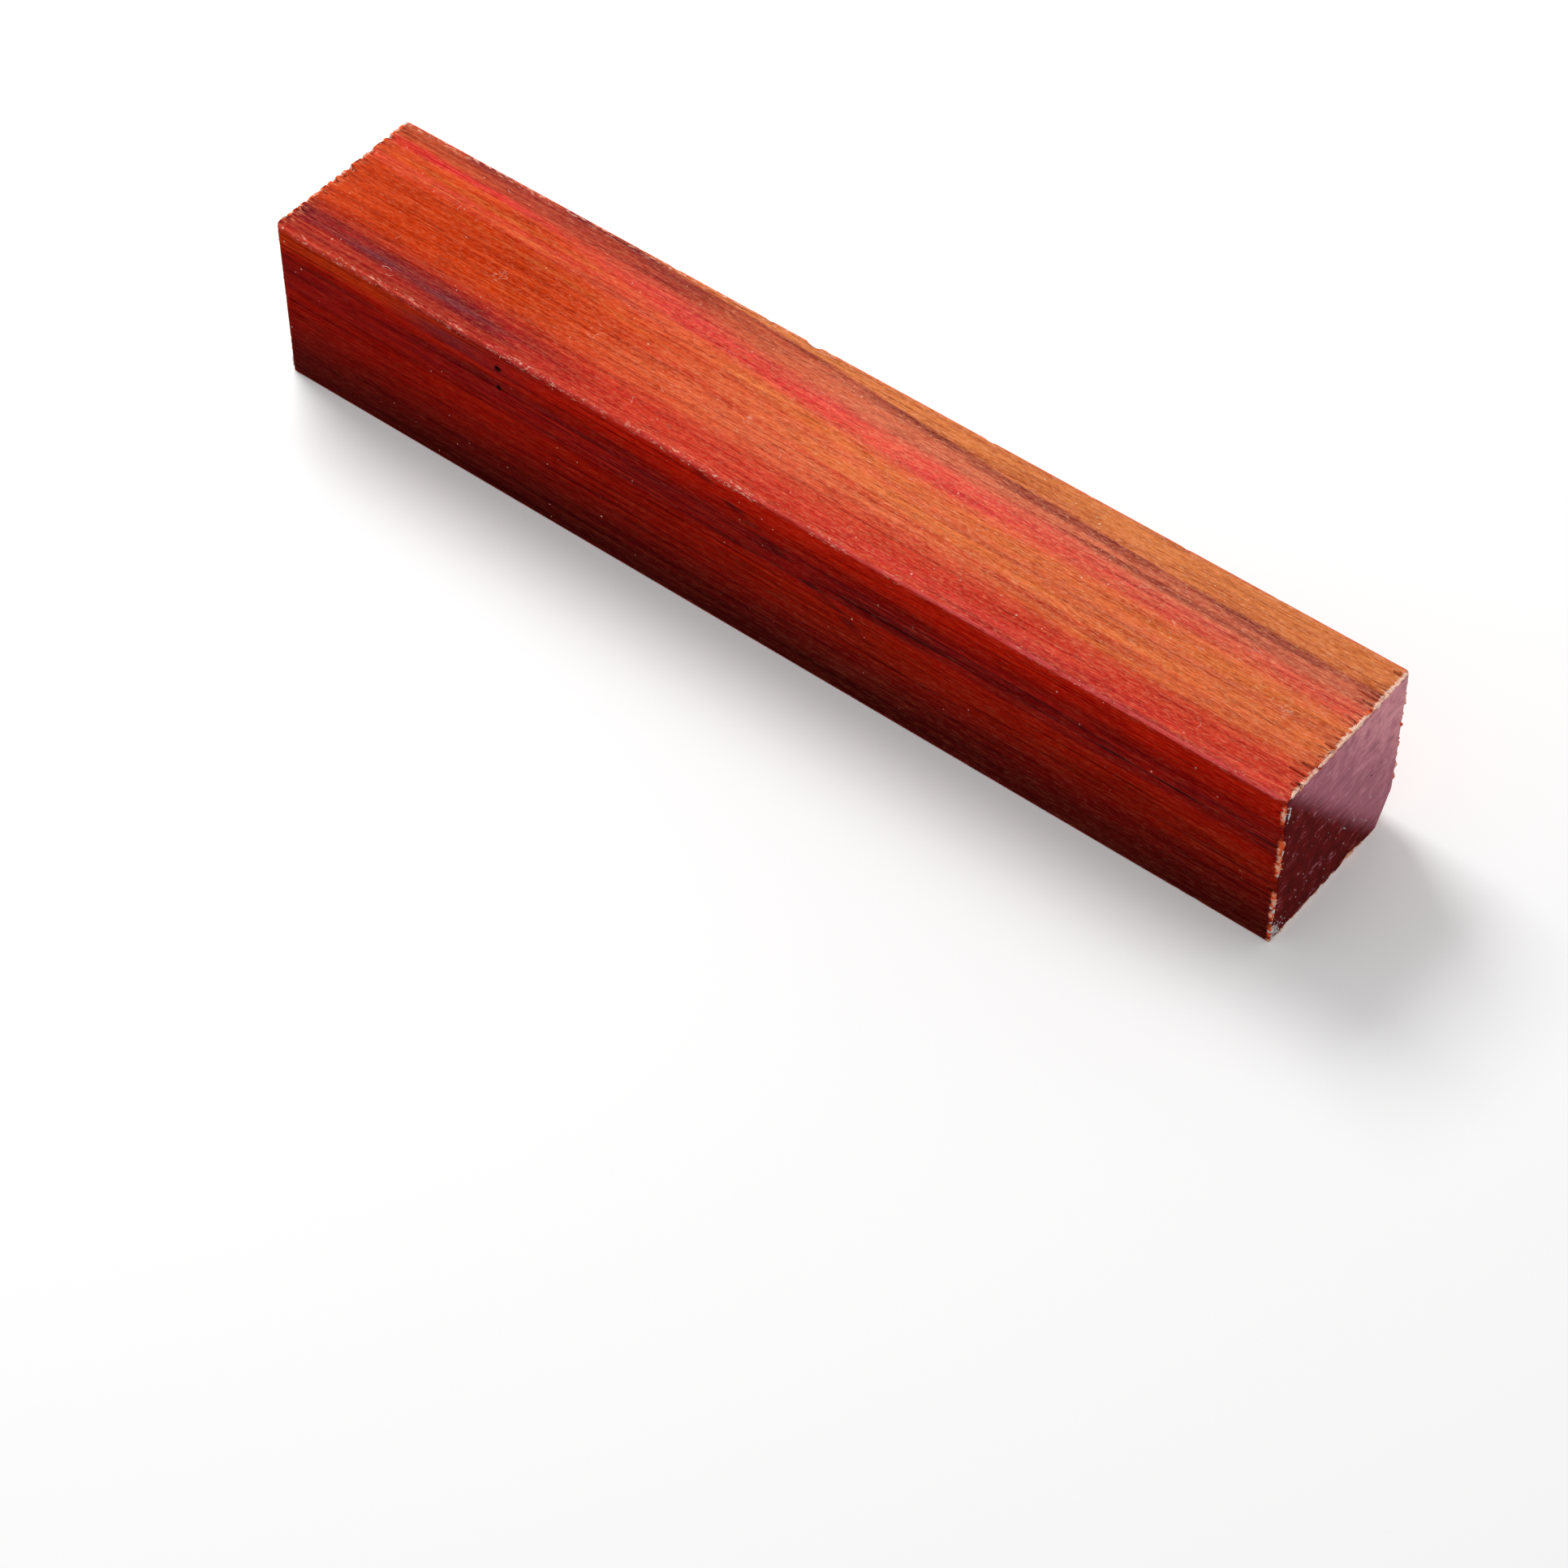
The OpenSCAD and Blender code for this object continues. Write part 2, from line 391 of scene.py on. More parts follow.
colour = streak(colour, CARMINE, 14.6, 0.2, 1.2, 0.5, start=-70.0, stop=60.0, lean=-0.018)
colour = streak(colour, ROSE, 20.5, 0.6, 2.2, 0.45, stop=-40.0, fade=80.0)
colour = streak(colour, ROSE, 12.0, 1.0, 3.0, 0.45, start=-12.0, stop=44.0, fade=30.0, broken=0.3)
colour = streak(colour, CEDAR, 8.0, 1.2, 2.6, 0.32, start=20.0, fade=60.0, track=depth)
colour = streak(colour, HONEY, 19.2, 1.2, 3.0, 0.75, start=-45.0, fade=60.0)
colour = streak(colour, HONEY, 26.0, 1.6, 3.0, 0.65, start=0.0, fade=90.0)
colour = streak(colour, HONEY, 31.5, 0.8, 2.0, 0.55, start=60.0, fade=60.0)
colour = streak(colour, HONEY, 17.4, 0.2, 1.1, 0.55, start=-142.0, stop=-66.0, broken=0.6)
colour = streak(colour, HONEY, 20.8, 0.1, 0.9, 0.45, start=-142.0, stop=-80.0, broken=0.7)
colour = streak(colour, HONEY, 25.2, 0.1, 0.8, 0.40, start=-120.0, stop=-50.0, broken=0.7)
colour = streak(colour, CEDAR, 22.6, 0.3, 1.4, 0.5, start=40.0)
colour = streak(colour, RED, 28.6, 0.2, 1.1, 0.7, start=-60.0, stop=110.0)
colour = streak(colour, RED, 33.0, 0.4, 1.5, 0.6, start=-10.0)
colour = streak(colour, ROSE, 42.0, 1.0, 3.0, 0.4, start=10.0, fade=80.0)
colour = streak(colour, BROWN_LINE, 0.5, 0.1, 1.0, 0.85, start=-85.0, broken=0.4, track=gold_edge)
colour = streak(colour, PLUM, 1.9, 0.3, 1.5, 0.55, start=0.0, fade=90.0, track=gold_edge)
colour = streak(colour, BROWN_LINE, 4.6, 0.2, 1.2, 0.70, start=60.0, fade=70.0, track=gold_edge)
colour = streak(colour, BROWN_LINE, 6.5, 0.3, 1.6, 0.45, start=-90.0, stop=-30.0, track=layer)
colour = streak(colour, BROWN_LINE, 20.5, 0.4, 1.2, 0.45, start=-82.0, stop=-62.0, fade=20.0)
colour = streak(colour, WINE, 50.0, 6.0, 6.0, 0.55, stop=-62.0, fade=50.0, broken=0.2)
colour = streak(colour, PLUM, 49.4, 1.2, 4.0, 0.80, stop=-74.0, fade=46.0, lean=0.012, broken=0.5)
colour = streak(colour, PLUM, 54.5, 1.0, 2.4, 0.55, stop=-80.0, fade=50.0, broken=0.6)
colour = streak(colour, ASH_PLUM, 48.4, 0.2, 1.3, 0.6, start=-138.0, stop=-84.0, fade=30.0, broken=0.8)
colour = streak(colour, PLUM, 43.6, 0.2, 0.9, 0.6, start=50.0, stop=140.0)
colour = streak(colour, EMBER, 52.5, 2.0, 3.0, 0.7, stop=-110.0, fade=60.0, broken=0.2, track=depth)
colour = streak(colour, RUSSET, 57.0, 2.0, 3.0, 0.8, stop=-88.0, fade=50.0)
colour = streak(colour, PLUM, 55.5, 1.4, 2.4, 0.85, start=-108.0, stop=-76.0, fade=26.0, track=depth)
colour = streak(colour, BLACK_LINE, 60.5, 0.2, 1.2, 0.45, start=-60.0, broken=0.9)
colour = streak(colour, BLACK_LINE, 66.3, 0.2, 0.9, 0.85, start=0.0, fade=90.0, track=depth)
colour = streak(colour, BLACK_LINE, 68.4, 0.1, 0.8, 0.7, start=-90.0, fade=60.0, track=depth)
colour = streak(colour, BLACK_LINE, 63.5, 0.3, 1.6, 0.5, broken=0.9)

# A soft dark mark that crosses the near face aslant
mark = abs(HEIGHT - up - 2.0 - (along + 15.5) * 0.49 + feather * 3.0).step(2.6, 0.4)
mark = mark * patches.step(0.40, 0.55) * on_side
mark = mark * along.step(-22.0, -12.0) * along.step(40.0, 26.0)
colour = mix_colour(colour, BLACK_LINE, mark * 0.6)

# Fibres, pores, the pale flecks of broken fibre between them and a painted glint
to_right = along.step(-140.0, 60.0)
broad = grain_noise(place, 60, 1.5, 2, 1) - 0.5
fibre = grain_noise(place, 11, 0.40, 2, 2) - 0.5
mottle = grain_noise(place, 2.2, 0.42, 2, 3) - 0.5
blotch = grain_noise(place, 9.0, 2.6, 2, 13) - 0.5
darker = broad.step(0.02, -0.22) * 0.42 + fibre.step(0.0, -0.22) * 0.40
darker = darker + mottle.step(0.0, -0.18) * 0.44 + blotch.step(0.02, -0.22) * 0.25
lighter = broad.step(0.0, 0.24) * 0.30 + fibre.step(0.02, 0.22) * 0.40 + mottle.step(0.02, 0.18) * 0.75
lighter = lighter * (to_right * 0.12 + 0.12) * (1.0 - on_side * 0.75)
colour = mix_colour(colour, (0.56, 0.32, 0.34, 1.0), darker, "MULTIPLY")
colour = mix_colour(colour, linear(255, 166, 118), lighter)
thread = grain_noise(place, 70, 0.75, 1, 31)
hairline = grain_noise(place, 38, 0.36, 1, 33)
threads = thread.step(0.50, 0.64) * 0.7 + hairline.step(0.53, 0.66) * 0.8
threads = threads * patches.step(0.28, 0.60)
colour = mix_colour(colour, (0.40, 0.22, 0.26, 1.0), threads * (0.38 + on_side * 0.40), "MULTIPLY")
bright = thread.step(0.46, 0.32) * 0.5 + hairline.step(0.44, 0.32) * 0.5
bright = bright * (0.19 - on_side * 0.03) * (1.0 - depth.step(66.0, 92.0) * 0.9)
colour = mix_colour(colour, mix_colour(linear(236, 124, 66), linear(228, 56, 14), on_side), bright)
pores = grain_noise(place, 3.4, 0.16, 1, 5).step(0.60, 0.72) * fibre.step(-0.16, 0.04)
colour = mix_colour(colour, linear(92, 18, 12), pores * 0.5)
calm = 1.0 - depth.step(32.0, 42.0) * 0.45
flecks = grain_noise(place, 2.2, 0.34, 1, 6).step(0.64, 0.76) * calm
flecks = flecks * (to_right * 0.22 + 0.16) * (1.0 - on_side * 0.8)
colour = mix_colour(colour, linear(250, 168, 136), flecks)
# A painted glint: fine pale specks of sheen on the fibre ends, mostly toward the right of the top face.
glint = grain_noise(place, 1.4, 0.32, 1, 39).step(0.54, 0.70) * calm
glint = glint * (to_right * 0.20 + 0.05) * (1.0 - on_side)
colour = mix_colour(colour, linear(255, 184, 140), glint)

# Rubbed arrises, palest on the near top one, which also carries a painted highlight, and torn fibre inside
# the edges, with painted shade in its splits and hollows
rub_noise = grain_noise(place, 3.0, 0.7, 3, 7)
rubbed = from_arris.step(1.1, 0.2) * rub_noise.step(0.30, 0.62) * 0.55
knocks = grain_noise(place, 16, 9, 2, 21)
# The near top arris: pale wear and a painted highlight, drawn as a thin line toward the right.
near_rub_and_highlight = from_near_arris.step(1.6, 0.7) * rub_noise.step(0.30, 0.60) * (knocks * 0.6 + 0.2)
near_rub_and_highlight = near_rub_and_highlight * (1.0 - on_side * from_near_arris.step(0.8, 1.4) * 0.8)
near_rub_and_highlight = near_rub_and_highlight * (along.step(60.0, -20.0) * 0.5 + 0.5)
near_rub_and_highlight = greater(near_rub_and_highlight, from_near_arris.step(1.0, 0.6) * along.step(10.0, 60.0) * 0.25)
colour = mix_colour(colour, linear(216, 72, 68), greater(rubbed, near_rub_and_highlight))
# A painted highlight: a thin pink line along the crest of the near top arris.
crest_highlight = abs(from_near_arris - 0.62).step(0.24, 0.06) * rub_noise.step(0.26, 0.50) * along.step(-20.0, 60.0)
colour = mix_colour(colour, linear(236, 92, 92), crest_highlight * 0.6)
frayed = from_near_arris.step(2.0, 0.6) * grain_noise(place, 1.5, 0.5, 2, 8).step(0.54, 0.66)
frayed = frayed * knocks.step(0.40, 0.58) * (along.step(90.0, 10.0) * 0.7 + 0.3)
from_far_arris = WIDTH / 2 - over + HEIGHT - up
bruised = from_far_arris.step(3.2, 0.8) * knocks.step(0.50, 0.62) * along.step(-10.0, -60.0)
colour = mix_colour(colour, PLUM, bruised * 0.6)
far_frayed = from_far_arris.step(2.2, 0.5) * grain_noise(place, 1.8, 0.5, 2, 18).step(0.52, 0.64)
far_frayed = far_frayed * (along.step(20.0, -40.0) * 0.7 + 0.3)
colour = mix_colour(colour, linear(244, 184, 158), greater(frayed, far_frayed) * 0.7)
tear_group = grain_noise(place, 30, 5.0, 1, 35).step(0.40, 0.58)
# Dark torn fibre in groups near the ends, partly painted shade of fine splits.
torn_dark_and_shade = (in_from_end - tear_group * 4.0).step(3.0, -2.0)
torn_dark_and_shade = torn_dark_and_shade * grain_noise(place, 5.0, 0.55, 2, 12).step(0.50, 0.60)
torn_pale = in_from_end.step(5.0, 0.5) * grain_noise(place, 4.0, 0.5, 2, 37).step(0.56, 0.66)
colour = mix_colour(colour, linear(240, 150, 110), torn_pale * (1.0 - on_side) * 0.7)
colour = mix_colour(colour, linear(74, 16, 16), torn_dark_and_shade * (1.0 - on_side * 0.8) * 0.6)
hollow = recess.step(0.15, 0.7)
colour = mix_colour(colour, linear(214, 100, 56), hollow * (1.0 - tear_group) * 0.5)
# Painted shade in the hollows, deepest in the tear groups.
colour = mix_colour(colour, linear(92, 28, 16), hollow * (tear_group * 0.6 + 0.05))

# Darker spots in and around the two pinholes and the deep nick
UPPER_PINHOLE = (-79.0, -25.0, 44.3)
LOWER_PINHOLE = (-79.0, -25.0, 37.8)
DEEP_NICK = (-20.0, 25.0, 50.0)
for dark_spot_at, reach in ((UPPER_PINHOLE, 1.4), (LOWER_PINHOLE, 1.2), (DEEP_NICK, 1.6)):
    from_dark_spot = Field.node("ShaderNodeVectorMath", {"operation": "DISTANCE"},
                           {0: place, 1: dark_spot_at}, output=1)
    dark_spot = (from_dark_spot + mottle * 2.0).step(reach, reach * 0.7)
    colour = mix_colour(colour, linear(44, 14, 14), dark_spot * 0.85)

# Dust, lint and four small scuffs like rings
dust = specks(place, 6.5, 0.36, 1.3, 0.35)
dust = greater(dust, specks(place, 3.4, 0.22, 5.1, 0.30))
for scuff_x, scuff_y in ((-95.5, -4.0), (-64.5, -5.0), (-16.5, -6.0), (136.5, -3.0)):
    from_scuff = Field.node("ShaderNodeVectorMath", {"operation": "DISTANCE"},
                            {0: place, 1: (scuff_x, scuff_y, HEIGHT)}, output=1)
    curl = Field.node("ShaderNodeTexNoise", None, {"Vector": place, "Scale": 0.45, "Detail": 1.0})
    scratch = abs(curl - 0.5).step(0.035, 0.01) * from_scuff.step(2.6, 1.4)
    dust = greater(dust, scratch * 0.4)
colour = mix_colour(colour, linear(242, 192, 170), dust * 0.75)

# The sealed ends, and the crushed fibre that shows where the wax has flaked
film = in_from_end.step(WAX_FILM * 0.8, WAX_FILM * 0.4)
flaked = (in_from_end + (rub_noise - 0.5) * 2.4).step(1.3, 0.7) * from_rim.step(3.6, 1.6)
on_near_rim = 0.0
for drop, half, width in NEAR_CHIPS:
    from_chip = abs(HEIGHT - up - drop + (rub_noise - 0.5) * 4.0)
    on_near_rim = greater(from_chip.step(half + 0.8, half - 0.8), on_near_rim)
flaked = flaked * (1.0 - over.step(-21.0, -22.5) * (1.0 - on_near_rim))
clot = grain_noise(place, 4.0, 1.9, 1, 15)
crushed = mix_colour(linear(140, 36, 22), linear(226, 92, 48), clot.step(0.38, 0.46))
crushed = mix_colour(crushed, linear(242, 176, 146), clot.step(0.54, 0.64))
crushed = mix_colour(crushed, linear(214, 208, 204), grain_noise(place, 3.0, 2.6, 1, 19).step(0.62, 0.68))
near_top = (HEIGHT - up).step(1.8, 1.0) * along.step(0.0, 10.0)
near_top = near_top * grain_noise(place, 4.0, 3.0, 2, 16).step(0.36, 0.50)
near_foot = up.step(1.5, 0.9) * grain_noise(place, 4.0, 2.4, 1, 20).step(0.36, 0.50)
crushed = mix_colour(crushed, linear(250, 212, 190), near_top * 0.85)
crushed = mix_colour(crushed, linear(255, 190, 140), near_foot * 0.8)
colour = mix_colour(colour, crushed, flaked)
brush = Field.node("ShaderNodeTexNoise", None,
                   {"Vector": Field.node("ShaderNodeMapping", None,
                                         {"Vector": place, "Rotation": (math.radians(38), 0, 0),
                                          "Scale": (0.1, 0.16, 3.4)}),
                    "Scale": 1.0, "Detail": 3.0, "Roughness": 0.6})
cloud = grain_noise(place, 8.0, 3.5, 4, 17)
wax_colour = mix_colour(linear(82, 5, 4), linear(112, 13, 13), cloud.step(0.30, 0.70))
left = along.step(1.0, -1.0)
# A pale veil on the right end's wax: mostly painted reflection of the light, partly milky wax, paler toward
# the far top. The left end gets a fainter veil of the same making.
haze_and_reflection = (over + WIDTH / 2 - (HEIGHT - up) * 0.83 - 2.0 + (brush - 0.5) * 9.0).step(-3.5, 5.0)
left_haze_and_reflection = (up + over + (brush - 0.5) * 30.0 + (cloud - 0.5) * 16.0).step(-5.0, 80.0) * 0.6
haze_and_reflection = haze_and_reflection * (1.0 - left) + left_haze_and_reflection * left
far_haze_and_reflection = (over + up).step(20.0, 74.0)
milk_and_reflection_share = (cloud + far_haze_and_reflection * 0.5 - 0.25).step(0.30, 0.75)
milk_and_reflection = mix_colour(linear(190, 110, 130), linear(242, 160, 172), milk_and_reflection_share)
wax_colour = mix_colour(wax_colour, milk_and_reflection, haze_and_reflection * (brush.step(0.24, 0.70) * 0.5 + 0.46))
wisp = Field.node("ShaderNodeTexNoise", None,
                  {"Vector": Field.node("ShaderNodeMapping", None,
                                        {"Vector": place, "Rotation": (math.radians(-38), 0, 0),
                                         "Scale": (0.1, 0.07, 0.32)}),
                   "Scale": 1.0, "Detail": 3.0, "Roughness": 0.6})
scratches = abs(wisp - 0.5).step(0.014, 0.004) * cloud.step(0.50, 0.60)
scored = Field.node("ShaderNodeMapping", None, {"Vector": place, "Rotation": (math.radians(-52), 0, 0),
                                                "Scale": (0.05, 0.22, 1.0)})
scratches = greater(scratches, specks(scored, 2.2, 0.30, 3.1, 0.12))
wax_colour = mix_colour(wax_colour, linear(174, 116, 130), scratches * (0.8 - left * 0.6))
# Painted shade: the left end's wax is darkened because the key light falls full on that end.
wax_colour = mix_colour(wax_colour, (0.62, 0.6, 0.6, 1.0), left, "MULTIPLY")
wax_specks = greater(specks(place, 3.0, 0.32, 2.2, 0.30), specks(place, 7.0, 0.6, 8.2, 0.25))
wax_colour = mix_colour(wax_colour, linear(216, 190, 186), wax_specks * 0.6)
colour = mix_colour(colour, wax_colour, film)

# Relief: fibres and pores on the wood, brush marks in the wax
relief = fibre * 0.5 + mottle * 0.7 - pores * 0.7 - threads * 0.25 + (rub_noise - 0.5) * near_rub_and_highlight * 2.0
relief = relief * (1.0 - film) + (brush * 0.5 + cloud * 0.8) * film
bump = Field.node("ShaderNodeBump", None, {"Strength": 0.6, "Distance": 0.00025, "Height": relief})
roughness = 0.6 + fibre * 0.25
roughness = roughness * (1.0 - film) + (0.22 + brush * 0.14) * film

surface = Field.tree.nodes.new("ShaderNodeBsdfPrincipled")
surface.inputs["IOR"].default_value = 1.45
surface.inputs["Specular IOR Level"].default_value = 0.004
Field.tree.links.new(colour.socket, surface.inputs["Base Color"])
Field.tree.links.new(roughness.socket, surface.inputs["Roughness"])
Field.tree.links.new(bump.socket, surface.inputs["Normal"])
surface.inputs["Coat Roughness"].default_value = 0.2
surface.inputs["Coat IOR"].default_value = 1.45
Field.tree.links.new((film * (haze_and_reflection * 0.14 + 0.015)).socket, surface.inputs["Coat Weight"])
output = Field.tree.nodes.new("ShaderNodeOutputMaterial")
Field.tree.links.new(surface.outputs[0], output.inputs[0])
stock.data.materials.clear()
stock.data.materials.append(heartwood)

# The wax lips
# The brush pulled a little of the sealing wax over the rims. It set there as a
# thin pale lip, full of crushed fibre, and has since broken away in places.
stock_surface = BVHTree.FromObject(stock, bpy.context.evaluated_depsgraph_get())
chance = random.Random(41)
PROUD = 0.25                # mm that a lip or crumb stands above the faces


def touch(start, toward):
    """Where a line from start first meets the stock; all in millimetres."""
    hit = stock_surface.ray_cast(Vector(start) * MM, Vector(toward))[0]
    return hit / MM if hit is not None else None


def seated(at, radius):
    """The nearest place to at where a ball of this radius stands at most PROUD above the faces."""
    reach_x = LENGTH / 2 + PROUD - radius
    reach_y = WIDTH / 2 + PROUD - radius
    x = max(min(at[0], reach_x), -reach_x)
    y = max(min(at[1], reach_y), -reach_y)
    z = max(min(at[2], HEIGHT + PROUD - radius), radius)
    return Vector((x, y, z))


def add_thread(shape, points, radii, sides):
    """A closed thread through the points, as thick as the radii say; all in millimetres."""
    stand = (points[1] - points[0]).to_track_quat("Z", "Y").to_matrix().to_4x4()
    made = bmesh.ops.create_circle(shape, segments=sides, radius=radii[0],
                                   matrix=Matrix.Translation(points[0]) @ stand)["verts"]
    edges = list({edge for vertex in made for edge in vertex.link_edges})
    bmesh.ops.contextual_create(shape, geom=edges)
    for number in range(1, len(points)):
        grown = bmesh.ops.extrude_edge_only(shape, edges=edges)["geom"]
        edges = [item for item in grown if isinstance(item, bmesh.types.BMEdge)]
        verts = [item for item in grown if isinstance(item, bmesh.types.BMVert)]
        bmesh.ops.translate(shape, vec=points[number] - points[number - 1], verts=verts)
        growth = radii[number] / radii[number - 1]
        bmesh.ops.scale(shape, vec=(growth,) * 3, space=Matrix.Translation(-points[number]), verts=verts)
    bmesh.ops.contextual_create(shape, geom=edges)


def joined_piece(shape, name, material):
    """Ends a bmesh drawn in millimetres as a piece in metres."""
    bmesh.ops.scale(shape, vec=(MM, MM, MM), verts=shape.verts)
    bmesh.ops.recalc_face_normals(shape, faces=shape.faces)
    mesh = bpy.data.meshes.new(name)
    shape.to_mesh(mesh)
    shape.free()
    mesh.materials.append(material)
    piece = bpy.data.objects.new(name, mesh)
    bpy.context.scene.collection.objects.link(piece)
    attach(piece, "root")
    return piece


def add_lip(shape, corner, way, outward, length, thick):
    """Broken runs of lip along one rim, which starts at corner and runs along way."""
    travelled = 0.0
    while travelled < length - 2.0:
        run = min(chance.uniform(2.0, 9.0), length - travelled)
        points = []
        radii = []
        steps = max(int(run / 0.35), 3)
        for number in range(steps + 1):
            share = number / steps
            start = Vector(corner) + Vector(way) * (travelled + run * share) + Vector(outward) * 6.0
            hit = touch(start, -Vector(outward))
            if hit is None:
                continue
            taper = min(share, 1.0 - share, 0.15) / 0.15
            reached = travelled + run * share
            swell = 0.75 + 0.7 * math.sin(reached * 1.3) * math.sin(reached * 0.41)
            radius = thick * (0.25 + 0.75 * taper) * swell * chance.uniform(0.6, 1.3)
            points.append(seated(hit, radius))
            radii.append(radius)
        if len(points) > 2:
            add_thread(shape, points, radii, 6)
        travelled += run + chance.choice((0.2, 0.4, 1.0, 3.0))


lips = bmesh.new()
for end in (1, -1):
    edge_x = end * LENGTH / 2
    add_lip(lips, (edge_x, -23.5, HEIGHT), (0, 1, 0), (end, 0, 1), 47.0, 0.36 if end > 0 else 0.15)
    add_lip(lips, (edge_x, -22.0, 0.0), (0, 1, 0), (end, 0, -1), 40.0, 0.55)
    add_lip(lips, (edge_x, WIDTH / 2, 12.0), (0, 0, 1), (end, 1, 0), 36.0, 0.42)

lip_wax = bpy.data.materials.new("lip_wax")
lip_wax.use_nodes = True
lip_wax.node_tree.nodes.clear()
Field.tree = lip_wax.node_tree
spot = Field.node("ShaderNodeVectorMath", {"operation": "SCALE"},
                  {0: Field.node("ShaderNodeTexCoord", output=3), "Scale": 1 / MM})
heights = Field.node("ShaderNodeSeparateXYZ", None, {0: spot}, output=2)
kind = Field.node("ShaderNodeTexNoise", None, {"Vector": spot, "Scale": 0.5, "Detail": 2.0})
crust = Field.node("ShaderNodeTexNoise", None, {"Vector": spot, "Scale": 4.0, "Detail": 3.0})
level = greater(heights.step(46.0, 49.0), heights.step(2.5, 1.0))
tone = mix_colour(linear(208, 82, 44), linear(238, 160, 124), (kind + level * 0.2).step(0.42, 0.54))
tone = mix_colour(tone, linear(250, 212, 190), (crust * 0.5 + kind * 0.5 + level * 0.12).step(0.50, 0.60))
tone = mix_colour(tone, linear(170, 40, 34), crust.step(0.44, 0.32) * 0.6)
lump = Field.node("ShaderNodeBump", None, {"Strength": 0.5, "Distance": 0.0001, "Height": crust})
surface = Field.tree.nodes.new("ShaderNodeBsdfPrincipled")
surface.inputs["Roughness"].default_value = 0.55
surface.inputs["Specular IOR Level"].default_value = 0.3
Field.tree.links.new(tone.socket, surface.inputs["Base Color"])
Field.tree.links.new(lump.socket, surface.inputs["Normal"])
output = Field.tree.nodes.new("ShaderNodeOutputMaterial")
Field.tree.links.new(surface.outputs[0], output.inputs[0])
joined_piece(lips, "wax_lips", lip_wax)


# The crumbs
# Wax and crushed fibre that broke loose and still stick to the rims of both
# ends, along the near top arris and, as dust, to the faces.
def add_crumb(shape, at, size):
    """A broken lump about size millimetres across, its sides drawn at random."""
    made = bmesh.ops.create_icosphere(shape, subdivisions=1, radius=size / 2)["verts"]
    for vertex in made:
        vertex.co *= chance.uniform(0.65, 1.0)
    stretch = Matrix.Diagonal((chance.uniform(0.6, 1.0), chance.uniform(0.6, 1.0),
                               chance.uniform(0.5, 1.0), 1.0))
    spin = Matrix.Rotation(chance.uniform(0, math.tau), 4, Vector((chance.random(), chance.random(), 1.0)))
    bmesh.ops.transform(shape, matrix=Matrix.Translation(at) @ spin @ stretch, verts=made)


def drop_crumb(shape, start, toward, size):
    """A crumb where the line from start meets the stock."""
    hit = touch(start, toward)
    if hit is not None:
        add_crumb(shape, seated(hit, size * 0.45), size)


crumbs = bmesh.new()
grey_crumbs = bmesh.new()
for end in (1, -1):
    out_x = end * (LENGTH / 2 + 4.0)
    for number in range(100):
        size = chance.choice((0.3, 0.35, 0.45, 0.6))
        way = chance.uniform(1.5, 48.5)
        inset = 24.7 - abs(chance.gauss(0.0, 0.6))
        rim = chance.choice(("near", "near", "top", "foot", "far", "far"))
        if rim == "near":
            way = HEIGHT - chance.choice((4.0, 16.5, 23.5, 37.5, 41.0)) + chance.gauss(0.0, 1.4)
        y, z = {"near": (-inset, way), "far": (inset, way), "top": (way - 25, 25 + inset),
                "foot": (way - 25, 25 - inset)}[rim]
        drop_crumb(crumbs, (out_x, y, z), (-end, 0, 0), size)
    for number in range(90):
        y, z = -24.3 + abs(chance.gauss(0.0, 1.5)), 0.9 + abs(chance.gauss(0.0, 2.3))
        drop_crumb(grey_crumbs, (out_x, y, z), (-end, 0, 0), chance.uniform(0.6, 1.2))
    for number in range(40):
        rise = chance.gauss(0.0, 1.2)
        y, z = -23.4 + rise * 0.12 + chance.gauss(0.0, 0.2), 44.4 + rise
        drop_crumb(grey_crumbs, (out_x, y, z), (-end, 0, 0), chance.uniform(0.6, 1.0))
    for y, z, size in ((3.2, 15.0, 0.9), (3.9, 14.2, 0.6), (12.2, 9.0, 0.7), (13.4, 8.2, 0.5),
                       (-10.0, 37.0, 0.6)):
        drop_crumb(grey_crumbs, (out_x, y, z), (-end, 0, 0), size)
    for number in range(14):
        drop_crumb(grey_crumbs, (out_x, chance.uniform(-20, 20), chance.uniform(4, 46)), (-end, 0, 0), 0.3)
for number in range(120):
    x = chance.choice((-78, -66, -56, -22, 5, -70, -62, 100, -120)) + chance.gauss(0.0, 8.0)
    y, z = -29.0 + chance.uniform(-0.8, 0.8), 54.0 + chance.uniform(-0.8, 0.8)
    start = (max(min(x, 150.0), -150.0), y, z)
    drop_crumb(crumbs, start, (0, 1, -1), chance.uniform(0.22, 0.5))
for number in range(90):
    x = chance.choice((-140, -110, -75, -50, -20, -20)) + chance.gauss(0.0, 9.0)
    y, z = 29.0 + chance.uniform(-0.6, 0.6), 54.0 + chance.uniform(-0.6, 0.6)
    start = (max(min(x, 150.0), -150.0), y, z)
    drop_crumb(crumbs, start, (0, -1, -1), chance.uniform(0.25, 0.5))
for number in range(80):
    start = (chance.uniform(-150, 150), chance.uniform(-23, 23), 60.0)
    hit = touch(start, (0, 0, -1))
    add_crumb(crumbs, hit, chance.choice((0.2, 0.25, 0.3, 0.5)))
for number in range(30):
    start = (chance.uniform(-150, 150), -40.0, chance.uniform(4, 47))
    hit = touch(start, (0, 1, 0))
    add_crumb(crumbs, hit, chance.choice((0.2, 0.25, 0.3)))


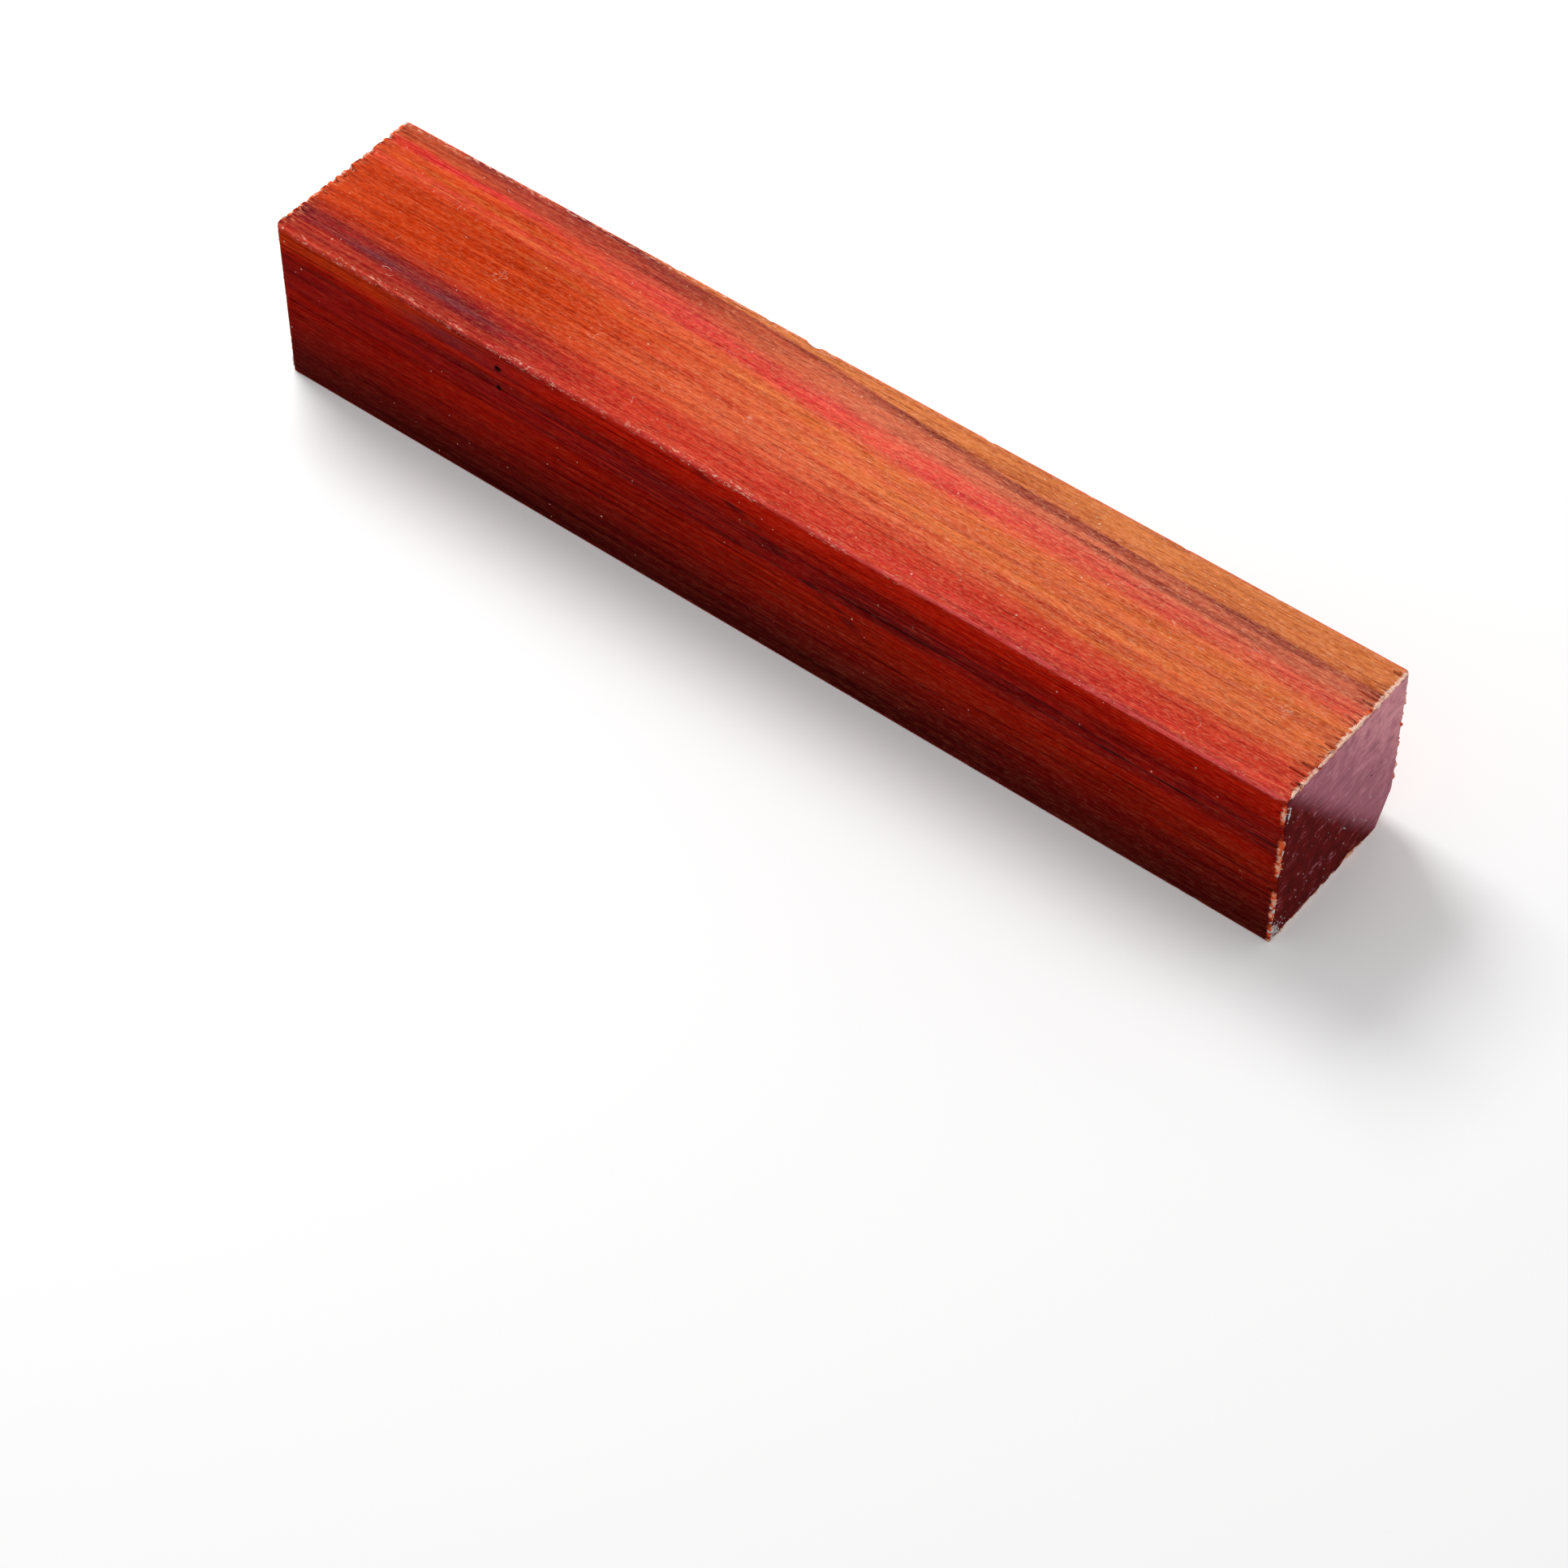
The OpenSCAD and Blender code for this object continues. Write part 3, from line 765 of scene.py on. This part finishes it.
def wax_material(name, dark, middling, pale):
    """Broken wax or loose fibre in three tones that change from bit to bit."""
    made = bpy.data.materials.new(name)
    made.use_nodes = True
    made.node_tree.nodes.clear()
    Field.tree = made.node_tree
    spot = Field.node("ShaderNodeVectorMath", {"operation": "SCALE"},
                      {0: Field.node("ShaderNodeTexCoord", output=3), "Scale": 1 / MM})
    kind = Field.node("ShaderNodeTexNoise", None, {"Vector": spot, "Scale": 0.9, "Detail": 2.0})
    tone = mix_colour(mix_colour(dark, middling, kind.step(0.36, 0.50)), pale, kind.step(0.52, 0.62))
    surface = Field.tree.nodes.new("ShaderNodeBsdfPrincipled")
    surface.inputs["Roughness"].default_value = 0.6
    surface.inputs["Specular IOR Level"].default_value = 0.3
    Field.tree.links.new(tone.socket, surface.inputs["Base Color"])
    output = Field.tree.nodes.new("ShaderNodeOutputMaterial")
    Field.tree.links.new(surface.outputs[0], output.inputs[0])
    return made


crumb_fibre = wax_material("crumb_fibre", linear(206, 84, 48), linear(240, 176, 146), linear(238, 214, 204))
crumb_wax = wax_material("crumb_wax", linear(150, 126, 124), linear(206, 200, 200), linear(240, 240, 242))
joined_piece(crumbs, "crumbs", crumb_fibre)
joined_piece(grey_crumbs, "grey_crumbs", crumb_wax)


# The lint
# A few hairs of fibre that lie on the top face, as on any rough stock.
def add_hair(shape, x, y, heading, run, bend, radius):
    """A thread that curls over the top face."""
    points = []
    for number in range(10):
        points.append(Vector((x, y, HEIGHT)))
        x = x + math.cos(heading) * run / 9
        y = y + math.sin(heading) * run / 9
        heading = heading + bend
    add_thread(shape, points, [radius] * 10, 4)


hairs = bmesh.new()
add_hair(hairs, -121.0, -19.5, 0.6, 3.6, -0.16, 0.07)
add_hair(hairs, -118.5, -21.0, -0.3, 2.6, 0.20, 0.06)
add_hair(hairs, 124.0, -19.0, 1.0, 2.2, 0.22, 0.06)
for number in range(26):
    add_hair(hairs, chance.uniform(-148, 146), chance.uniform(-22, 22), chance.uniform(0, math.tau),
             chance.uniform(1.0, 2.6), chance.uniform(-0.2, 0.2), 0.05)
lint_fibre = wax_material("lint_fibre", linear(226, 160, 140), linear(244, 200, 180), linear(250, 226, 214))
joined_piece(hairs, "lint", lint_fibre)

# The stage
# A pale floor that runs out to white, with soft light from above and behind.
FLOOR_SIZE = 6.0
floor_mesh = bpy.data.meshes.new("floor")
shape = bmesh.new()
bmesh.ops.create_grid(shape, x_segments=1, y_segments=1, size=FLOOR_SIZE / 2)
shape.to_mesh(floor_mesh)
shape.free()
floor = bpy.data.objects.new("floor", floor_mesh)
bpy.context.scene.collection.objects.link(floor)
paper = bpy.data.materials.new("paper")
paper.use_nodes = True
sheet = paper.node_tree.nodes["Principled BSDF"]
sheet.inputs["Base Color"].default_value = (0.86, 0.86, 0.86, 1)
sheet.inputs["Roughness"].default_value = 0.9
sheet.inputs["Emission Strength"].default_value = 0.14
Field.tree = paper.node_tree
glow = mix_colour((0.0, 0.0, 0.0, 1.0), (1.0, 1.0, 1.0, 1.0), Field.node("ShaderNodeLightPath"))
paper.node_tree.links.new(glow.socket, sheet.inputs["Emission Color"])
floor_mesh.materials.append(paper)

world = bpy.data.worlds.new("studio")
world.use_nodes = True
bpy.context.scene.world = world
world.node_tree.nodes["Background"].inputs["Color"].default_value = (1, 1, 1, 1)
world.node_tree.nodes["Background"].inputs["Strength"].default_value = 0.55


def soft_box(name, at, size, power):
    """A square area light that faces the blank."""
    light = bpy.data.lights.new(name, "AREA")
    light.shape = "SQUARE"
    light.size = size
    light.energy = power
    lamp = bpy.data.objects.new(name, light)
    bpy.context.scene.collection.objects.link(lamp)
    lamp.location = at
    lamp.rotation_euler = (Vector((0, 0, 0.03)) - Vector(at)).to_track_quat("-Z", "Y").to_euler()


soft_box("key", (-0.72, 0.30, 0.98), 0.55, 11.5)

# The camera
# A long lens above the blank's right end, as far off as the photograph's was.
camera_data = bpy.data.cameras.new("camera")
camera_data.sensor_width = 36.0
camera_data.lens = 102.12
camera_data.clip_start = 0.01
camera = bpy.data.objects.new("camera", camera_data)
bpy.context.scene.collection.objects.link(camera)
CAMERA_AT = Vector((0.4637, -0.59055, 0.8016))
LOOKS_AT = Vector((0.03487, -0.056374, 0.0))
ROLL = math.radians(-0.343)
camera.location = CAMERA_AT
turn = (LOOKS_AT - CAMERA_AT).to_track_quat("-Z", "Y").to_matrix() @ Matrix.Rotation(ROLL, 3, "Z")
camera.rotation_euler = turn.to_euler()
bpy.context.scene.camera = camera
bpy.context.scene.view_settings.view_transform = "Standard"
